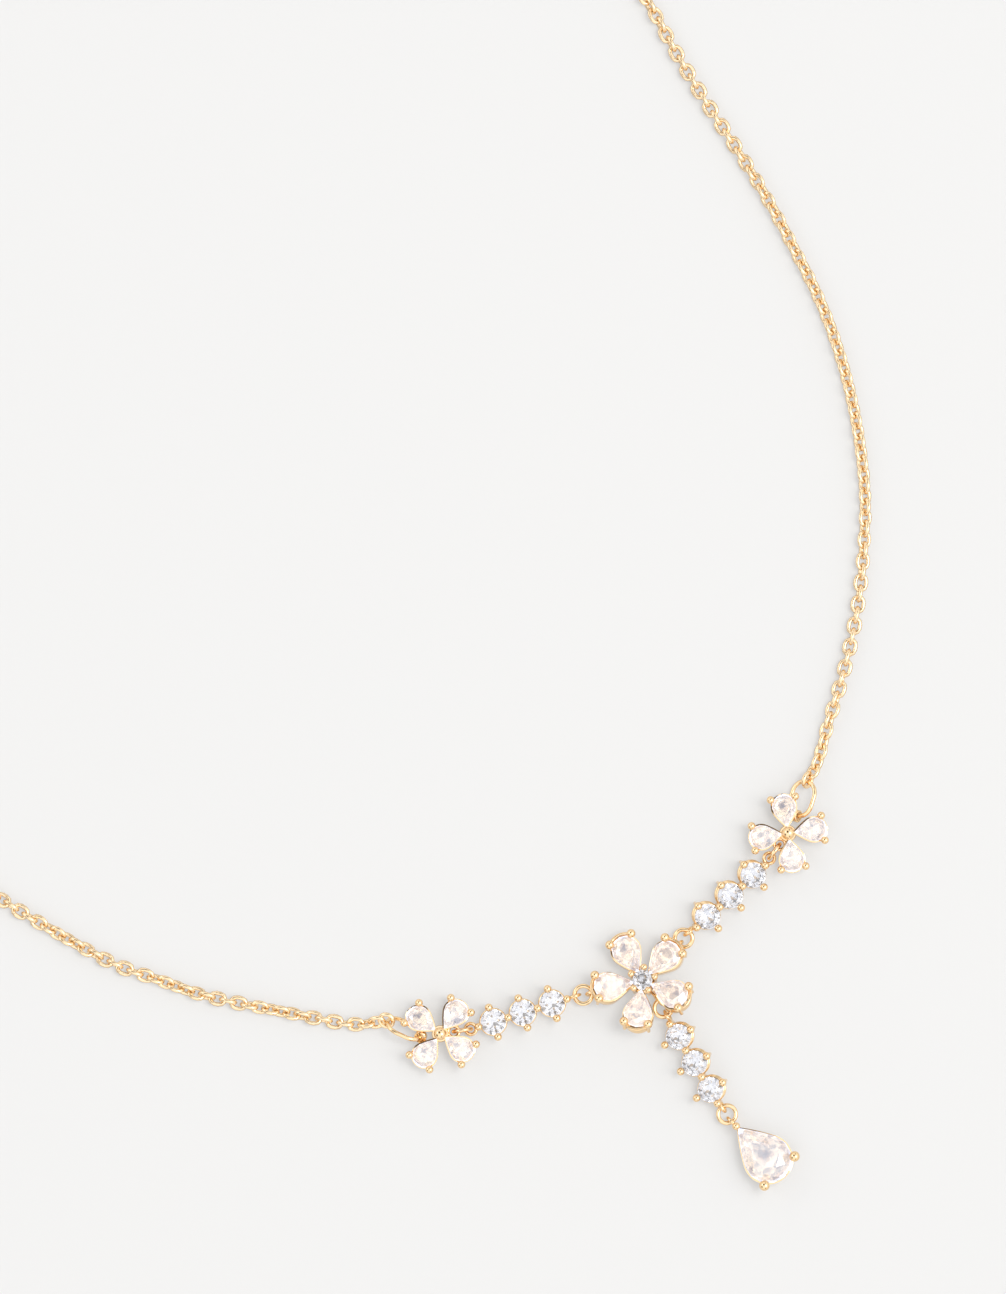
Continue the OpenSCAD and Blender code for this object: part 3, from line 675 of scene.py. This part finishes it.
# Chain: two links at right angles, repeated and bent along the route
def chain_line(points, twists):
    """The line that the chain follows, with a twist at each point"""
    data = bpy.data.curves.new("route", "CURVE")
    data.dimensions = "3D"
    data.twist_mode = "Z_UP"
    data.resolution_u = 16
    spline = data.splines.new("BEZIER")
    spline.bezier_points.add(len(points) - 1)
    for knot, point, twist in zip(spline.bezier_points, points, twists):
        knot.co = point
        knot.handle_left_type = knot.handle_right_type = "AUTO"
        knot.tilt = twist
    line = bpy.data.objects.new("route", data)
    bpy.context.scene.collection.objects.link(line)
    return line


def make_links(line, first, span):
    """Links from first to first + span along a line, each at right angles to the last"""
    pairs = round((span / LINK_PITCH + 1) / 2)
    step = span / (2 * pairs - 1)
    link = oval_ring((LINK_L - LINK_WIRE) / 2, (LINK_W - LINK_WIRE) / 2, LINK_WIRE, 5, 6)
    put(link, Matrix.Translation((first, 0, 0)))
    quarter = Matrix.Translation((step, 0, 0)) @ Matrix.Rotation(pi / 2, 4, "X")
    twin = copy_at(link, quarter)
    select_only(link, twin)
    bpy.ops.object.join()
    row = link.modifiers.new("row", "ARRAY")
    row.use_relative_offset = False
    row.use_constant_offset = True
    row.constant_offset_displace = (2 * step, 0, 0)
    row.count = pairs
    bend = link.modifiers.new("bend", "CURVE")
    bend.object = line
    bend.deform_axis = "POS_X"
    bpy.ops.object.modifier_apply(modifier="row")
    bpy.ops.object.modifier_apply(modifier="bend")
    return link


def make_chain(side, bail, route, hook, hook_wire, hook_way, knots):
    heading = level(SIDE_FLOWERS[side].heading)
    far = bail + 2 * OVAL_HALF * heading
    first = far + (FIRST_LINK_R - (LINK_WIRE + RING_WIRE) / 2 - LINK_GAP) * heading
    away = level(hook_way)
    last = hook + (RING_R - (RING_WIRE + hook_wire) / 2 - LINK_GAP) * away
    flower = places["flower"].translation
    points = [first]
    points += [Vector((x + flower.x, y + flower.y, CHAIN_Z)) for x, y in route]
    points.append(last)
    line = chain_line(points, chain_twists(points, knots))
    length = line.data.splines[0].calc_length()
    parts = [make_links(line, FRONT_LINK_IN, length - FRONT_LINK_IN - BACK_LINK_IN)]
    bpy.data.curves.remove(line.data)
    first_link = wire_ring(FIRST_LINK_R, LINK_WIRE, 20, 10)
    parts.append(put(first_link, framed(first, heading, oval_axis(side))))
    parts.append(put(jump_ring(), framed(last, away, away.cross(Vector((0, 0, 1))).normalized())))
    return joined(f"chain_{side}_dressed", parts, sharp=radians(75))


def chain_twists(points, knots):
    """The roll at each point of a chain's line"""
    gone, twists = 0, []
    for before, point in zip(points[:1] + points, points):
        gone += (point - before).length
        for (start, first), (end, last) in zip(knots, knots[1:]):
            if gone <= end:
                twists.append(radians(first + (last - first) * (gone - start) / (end - start)))
                break
    return twists


def make_clasp(point):
    ring = wire_ring(CLASP_R, CLASP_WIRE, 64, 24)
    eye = wire_ring(CLASP_EYE_R, CLASP_EYE_WIRE, 36, 16)
    put(eye, Matrix.Translation((CLASP_EYE_REACH, 0, 0)))
    return joined("clasp_dressed", [ring, eye], Matrix.Translation(point))


# Materials
COLOUR, VALUE = "NodeSocketColor", "NodeSocketFloat"


def new_group(name, inputs, outputs):
    """A node group with its sockets: each input's name, kind and value, each output's name and kind"""
    group = bpy.data.node_groups.new(name, "ShaderNodeTree")
    for label, kind, value in inputs:
        socket = group.interface.new_socket(name=label, in_out="INPUT", socket_type=kind)
        socket.default_value = value
    for label, kind in outputs:
        group.interface.new_socket(name=label, in_out="OUTPUT", socket_type=kind)
    return group, group.nodes.new("NodeGroupInput"), group.nodes.new("NodeGroupOutput")


def polish_group():
    """Faint rub marks and a soft change of colour over polished metal"""
    group, inputs, outputs = new_group(
        "polish",
        (
            ("Colour", COLOUR, (0.9, 0.6, 0.3, 1)),
            ("Deep colour", COLOUR, (0.8, 0.5, 0.2, 1)),
            ("Patch size", VALUE, 900),
            ("Roughness", VALUE, 0.1),
            ("Rub", VALUE, 0.05),
        ),
        (("Colour", COLOUR), ("Roughness", VALUE), ("Height", VALUE)),
    )
    nodes = group.nodes
    where = nodes.new("ShaderNodeTexCoord")
    patches = nodes.new("ShaderNodeTexNoise")
    patches.inputs["Detail"].default_value = 3
    marks = nodes.new("ShaderNodeTexNoise")
    marks.inputs["Scale"].default_value = 6000
    marks.inputs["Detail"].default_value = 2
    mix = nodes.new("ShaderNodeMix")
    mix.data_type = "RGBA"
    amount = nodes.new("ShaderNodeMath")
    amount.operation = "MULTIPLY_ADD"
    for source, target in (
        (where.outputs["Object"], patches.inputs["Vector"]),
        (where.outputs["Object"], marks.inputs["Vector"]),
        (inputs.outputs["Patch size"], patches.inputs["Scale"]),
        (patches.outputs["Fac"], mix.inputs["Factor"]),
        (inputs.outputs["Colour"], mix.inputs["A"]),
        (inputs.outputs["Deep colour"], mix.inputs["B"]),
        (mix.outputs["Result"], outputs.inputs["Colour"]),
        (marks.outputs["Fac"], amount.inputs[0]),
        (inputs.outputs["Rub"], amount.inputs[1]),
        (inputs.outputs["Roughness"], amount.inputs[2]),
        (amount.outputs["Value"], outputs.inputs["Roughness"]),
        (marks.outputs["Fac"], outputs.inputs["Height"]),
    ):
        group.links.new(source, target)
    return group


def flats_group():
    """A cut stone's colour and glow, broken up cell by cell into small sharp flats: painted facet light and
    shade in the colour, painted shade and painted glints in the glow
    """
    group, inputs, outputs = new_group(
        "flats",
        (
            ("Clear", COLOUR, (0.9, 0.9, 0.9, 1)),
            ("Painted facets", COLOUR, (0.8, 0.8, 0.8, 1)),
            ("Shade", COLOUR, (0.2, 0.2, 0.2, 1)),
            ("Glint", COLOUR, (1, 1, 1, 1)),
        ),
        (("Colour", COLOUR), ("Glow", COLOUR)),
    )
    nodes, links = group.nodes, group.links
    where = nodes.new("ShaderNodeTexCoord")
    # Painted light: random cells stand in for the facets' light and shade, not for any colour of the stone
    cells = nodes.new("ShaderNodeTexVoronoi")
    cells.inputs["Scale"].default_value = 1600
    split = nodes.new("ShaderNodeSeparateColor")
    links.new(where.outputs["Object"], cells.inputs["Vector"])
    links.new(cells.outputs["Color"], split.inputs["Color"])
    for source, first, second, target in (
        ("Red", "Clear", "Painted facets", "Colour"),
        ("Green", "Shade", "Glint", "Glow"),
    ):
        mix = nodes.new("ShaderNodeMix")
        mix.data_type = "RGBA"
        links.new(split.outputs[source], mix.inputs["Factor"])
        links.new(inputs.outputs[first], mix.inputs["A"])
        links.new(inputs.outputs[second], mix.inputs["B"])
        links.new(mix.outputs["Result"], outputs.inputs[target])
    return group


def new_material(name):
    material = bpy.data.materials.new(name)
    material.use_nodes = True
    return material, material.node_tree.nodes, material.node_tree.links


def add_group(nodes, group, values):
    """A group placed in a material, with the material's own values"""
    node = nodes.new("ShaderNodeGroup")
    node.node_tree = group
    for label, value in values.items():
        node.inputs[label].default_value = value
    return node


def gold(name, polish, colour, deep, edge, roughness, rub):
    material, nodes, links = new_material(name)
    shader = nodes["Principled BSDF"]
    shader.inputs["Metallic"].default_value = 1
    values = {"Colour": colour, "Deep colour": deep, "Roughness": roughness, "Rub": rub}
    finish = add_group(nodes, polish, values)
    relief = nodes.new("ShaderNodeBump")
    relief.inputs["Strength"].default_value = 0.05
    relief.inputs["Distance"].default_value = 0.00001
    # Painted shade: the colour turns deeper towards the edge colour where the surface turns away from the
    # view
    turn = nodes.new("ShaderNodeLayerWeight")
    turn.inputs["Blend"].default_value = 0.35
    painted_edge_shade = nodes.new("ShaderNodeMix")
    painted_edge_shade.data_type = "RGBA"
    painted_edge_shade.inputs["B"].default_value = edge
    links.new(turn.outputs["Facing"], painted_edge_shade.inputs["Factor"])
    links.new(finish.outputs["Colour"], painted_edge_shade.inputs["A"])
    links.new(painted_edge_shade.outputs["Result"], shader.inputs["Base Color"])
    links.new(finish.outputs["Roughness"], shader.inputs["Roughness"])
    links.new(finish.outputs["Height"], relief.inputs["Height"])
    links.new(relief.outputs["Normal"], shader.inputs["Normal"])
    return material


def stone(name, flats, facet_paint, index, transmission, glow):
    """Clear cut stone with a painted glow, and painted facet light, shade and glints from the flats"""
    material, nodes, links = new_material(name)
    shader = nodes["Principled BSDF"]
    shader.inputs["Transmission Weight"].default_value = transmission
    shader.inputs["IOR"].default_value = index
    shader.inputs["Roughness"].default_value = 0
    # Painted glow: the stone gives off light of its own, which stands in for light it sends back
    shader.inputs["Emission Strength"].default_value = glow
    cut = add_group(nodes, flats, facet_paint)
    links.new(cut.outputs["Colour"], shader.inputs["Base Color"])
    links.new(cut.outputs["Glow"], shader.inputs["Emission Color"])
    return material


def paper():
    """The pale sheet that the necklace lies on, faintly lit from below"""
    material, nodes, links = new_material("pale_sheet")
    shader = nodes["Principled BSDF"]
    shader.inputs["Base Color"].default_value = (0.3, 0.3, 0.3, 1)
    shader.inputs["Emission Color"].default_value = (1, 1, 0.995, 1)
    shader.inputs["Emission Strength"].default_value = 0.4
    shader.inputs["Roughness"].default_value = 0.9
    shader.inputs["Specular IOR Level"].default_value = 0.1
    grain = nodes.new("ShaderNodeTexNoise")
    grain.inputs["Scale"].default_value = 1500
    relief = nodes.new("ShaderNodeBump")
    relief.inputs["Strength"].default_value = 0.03
    relief.inputs["Distance"].default_value = 0.0001
    where = nodes.new("ShaderNodeTexCoord")
    links.new(where.outputs["Object"], grain.inputs["Vector"])
    links.new(grain.outputs["Fac"], relief.inputs["Height"])
    links.new(relief.outputs["Normal"], shader.inputs["Normal"])
    return material


# Stage and light
def add_floor():
    bpy.ops.mesh.primitive_plane_add(size=3, location=(0, 0, 0))
    floor = bpy.context.object
    floor.name = "floor"
    floor.data.materials.append(paper())


def picture_way(right, up, high):
    return (right * PICTURE_RIGHT + up * PICTURE_UP + Vector((0, 0, high))).normalized()


# The tent's shades at the horizon, at the middle height and straight up
TENT_SHADES = ((0.97, 0.95, 0.92, 1), (1.23, 1.22, 1.21, 1), (1.28, 1.28, 1.29, 1))
TENT_MIDDLE = 0.4
# What the metal mirrors in the tent: two bright panels, three dim ones and the dark of the lens.
# Columns: ways right, up and high in the picture, half width and soft edge in degrees, colour
PANELS = (
    ((0.58, -0.06, 0.8), 11, 3, (5.5, 5.4, 5.2, 1)),
    ((-0.8, 0.35, 0.7), 8, 4, (2.6, 2.65, 2.7, 1)),
    ((-0.9, -0.5, 0.45), 13, 9, (0.3, 0.28, 0.26, 1)),
    ((0.3, 0.9, 0.55), 10, 7, (0.35, 0.33, 0.3, 1)),
    ((0.35, -0.9, 0.4), 9, 6, (0.35, 0.33, 0.3, 1)),
    ((-0.3, 0.42, 1), 17, 7, (0.17, 0.14, 0.1, 1)),
)
# The overhead lamp's way in the picture, its distance and width in metres, and its power
LAMP_WAY, LAMP_FAR, LAMP_WIDTH, LAMP_POWER = (0.26, 0.06, 1), 1.2, 0.45, 7.5


def add_sky():
    """A studio tent, pale all round, with panels in it"""
    world = bpy.data.worlds.new("studio")
    bpy.context.scene.world = world
    world.use_nodes = True
    nodes, links = world.node_tree.nodes, world.node_tree.links
    back = nodes["Background"]
    where = nodes.new("ShaderNodeTexCoord")
    split = nodes.new("ShaderNodeSeparateXYZ")
    links.new(where.outputs["Generated"], split.inputs["Vector"])
    ramp = nodes.new("ShaderNodeValToRGB")
    stops = ramp.color_ramp.elements
    stops.new(TENT_MIDDLE)
    for stop, shade in zip(stops, TENT_SHADES):
        stop.color = shade
    links.new(split.outputs["Z"], ramp.inputs["Fac"])
    colour = ramp.outputs["Color"]
    for way, wide, soft, shade in PANELS:
        dot = nodes.new("ShaderNodeVectorMath")
        dot.operation = "DOT_PRODUCT"
        dot.inputs[1].default_value = picture_way(*way)
        links.new(where.outputs["Generated"], dot.inputs[0])
        edge = nodes.new("ShaderNodeMapRange")
        edge.interpolation_type = "SMOOTHSTEP"
        edge.inputs["From Min"].default_value = cos(radians(wide + soft))
        edge.inputs["From Max"].default_value = cos(radians(wide))
        links.new(dot.outputs["Value"], edge.inputs["Value"])
        mix = nodes.new("ShaderNodeMix")
        mix.data_type = "RGBA"
        mix.inputs["B"].default_value = shade
        links.new(edge.outputs["Result"], mix.inputs["Factor"])
        links.new(colour, mix.inputs["A"])
        colour = mix.outputs["Result"]
    links.new(colour, back.inputs["Color"])


def add_overhead():
    """The lamp that gives the shadows, which neither the metal nor the stones show"""
    data = bpy.data.lights.new("overhead", "AREA")
    data.shape = "DISK"
    data.size = LAMP_WIDTH
    data.energy = LAMP_POWER
    data.color = (1, 0.99, 0.97)
    lamp = bpy.data.objects.new("overhead", data)
    way = picture_way(*LAMP_WAY)
    turn = way.to_track_quat("Z", "Y").to_matrix().to_4x4()
    lamp.matrix_world = Matrix.Translation(CAMERA_TARGET * MM + way * LAMP_FAR) @ turn
    lamp.visible_glossy = False
    lamp.visible_transmission = False
    bpy.context.scene.collection.objects.link(lamp)


# Making
add_camera()
places = {"flower": flower_place()}
for bar in BARS:
    places[bar] = bar_seat(bar)
for side in SIDE_FLOWERS:
    places[side] = side_flower_place(side)
places["drop"] = pear_seat("drop_stone", DROP_W, DROP_L)

polish, flats = polish_group(), flats_group()
# edge is the painted shade colour that the gold takes where it turns away from the view
bright_gold = gold(
    "polished_gold", polish, roughness=0.04, rub=0.03,
    colour=(0.96, 0.745, 0.49, 1), deep=(0.93, 0.67, 0.38, 1), edge=(0.86, 0.55, 0.22, 1),
)
link_gold = gold(
    "chain_gold", polish, roughness=0.16, rub=0.06,
    colour=(0.98, 0.785, 0.54, 1), deep=(0.96, 0.72, 0.44, 1), edge=(0.93, 0.66, 0.35, 1),
)
# Painted facet light and shade for the stones' colour, with painted shade and painted glints for their glow
petal_facet_paint = {
    "Clear": (0.82, 0.87, 0.99, 1), "Painted facets": (0.97, 0.97, 1.0, 1),
    "Shade": (0.26, 0.35, 0.58, 1), "Glint": (0.94, 0.95, 1.0, 1),
}
petal_stone = stone("petal_stone", flats, petal_facet_paint, index=2.5, transmission=0.92, glow=0.38)
round_facet_paint = {
    "Clear": (0.84, 0.84, 0.87, 1), "Painted facets": (0.6, 0.62, 0.68, 1),
    "Shade": (0.2, 0.25, 0.35, 1), "Glint": (1.0, 0.98, 1.0, 1),
}
clear_stone = stone("clear_stone", flats, round_facet_paint, index=2.15, transmission=0.97, glow=0.04)


def dress(piece, material, slot, *nodes):
    """Gives a piece its material and body, and hides the nodes whose place it takes; the slot is not used
    """
    piece.data.materials.clear()
    piece.data.materials.append(material)
    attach(piece, "root")
    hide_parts(*nodes)


def bar_eye(bar, outer):
    return places[bar] @ Vector((OUTER_REACHES[bar] if outer else -BAR_EYE_REACH, 0, BAR_EYE_Z))


def middle_hook(which):
    return places["flower"] @ flower_eye(which)


def bail_point(side):
    return places[side] @ leaf_bail(side)


dress(make_flower_setting(places["flower"]), bright_gold, "polished_gold", "flower_setting")
for bar in BARS:
    setting = make_bar_setting(bar, places[bar], bar != "drop_bar")
    dress(setting, bright_gold, "polished_gold", f"{bar}_setting")
for side in SIDE_FLOWERS:
    setting = make_side_flower_setting(side, places[side])
    dress(setting, bright_gold, "polished_gold", f"{side}_flower_setting")
    dress(make_oval(side, bail_point(side)), bright_gold, "polished_gold", f"{side}_chain_ring")
dress(make_drop_setting(places["drop"]), bright_gold, "polished_gold", "drop_setting")

drop_eye = places["drop"] @ Vector((-DROP_EYE_IN, 0, DROP_EYE_Z))
for name, start, end, standing in (
    ("left_middle_ring", middle_hook("left"), bar_eye("left_bar", False), False),
    ("right_middle_ring", middle_hook("right"), bar_eye("right_bar", False), False),
    ("left_flower_ring", bar_eye("left_bar", True), places["left"] @ leaf_eye("left"), True),
    ("right_flower_ring", bar_eye("right_bar", True), places["right"] @ leaf_eye("right"), True),
    ("drop_bar_ring", middle_hook("drop"), bar_eye("drop_bar", False), False),
    ("drop_ring", bar_eye("drop_bar", True), drop_eye, False),
):
    dress(make_small_ring(f"{name}_dressed", start, end, standing), bright_gold, "polished_gold", name)

flower_floor = Vector((places["flower"].translation.x, places["flower"].translation.y, 0))
clasp_point = flower_floor + CLASP_AT
left_hook = clasp_point - Vector((CLASP_R, 0, 0))
right_hook = clasp_point + Vector((CLASP_EYE_REACH + CLASP_EYE_R, 0, 0))
for side, route, hook, wire, way, rolls in (
    ("left", LEFT_ROUTE, left_hook, CLASP_WIRE, pi, LEFT_ROLLS),
    ("right", RIGHT_ROUTE, right_hook, CLASP_EYE_WIRE, 0, RIGHT_ROLLS),
):
    links = make_chain(side, bail_point(side), route, hook, wire, way, rolls)
    dress(links, link_gold, "chain_gold", f"chain_{side}")
dress(make_clasp(clasp_point), bright_gold, "polished_gold", "clasp")

for name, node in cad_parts.items():
    if "stone" in name or "petal" in name:
        material = clear_stone if "stone" in name and name != "drop_stone" else petal_stone
        for slot in node.material_slots:
            slot.material = material

add_floor()
add_sky()
add_overhead()
bpy.context.scene.view_settings.view_transform = "Standard"
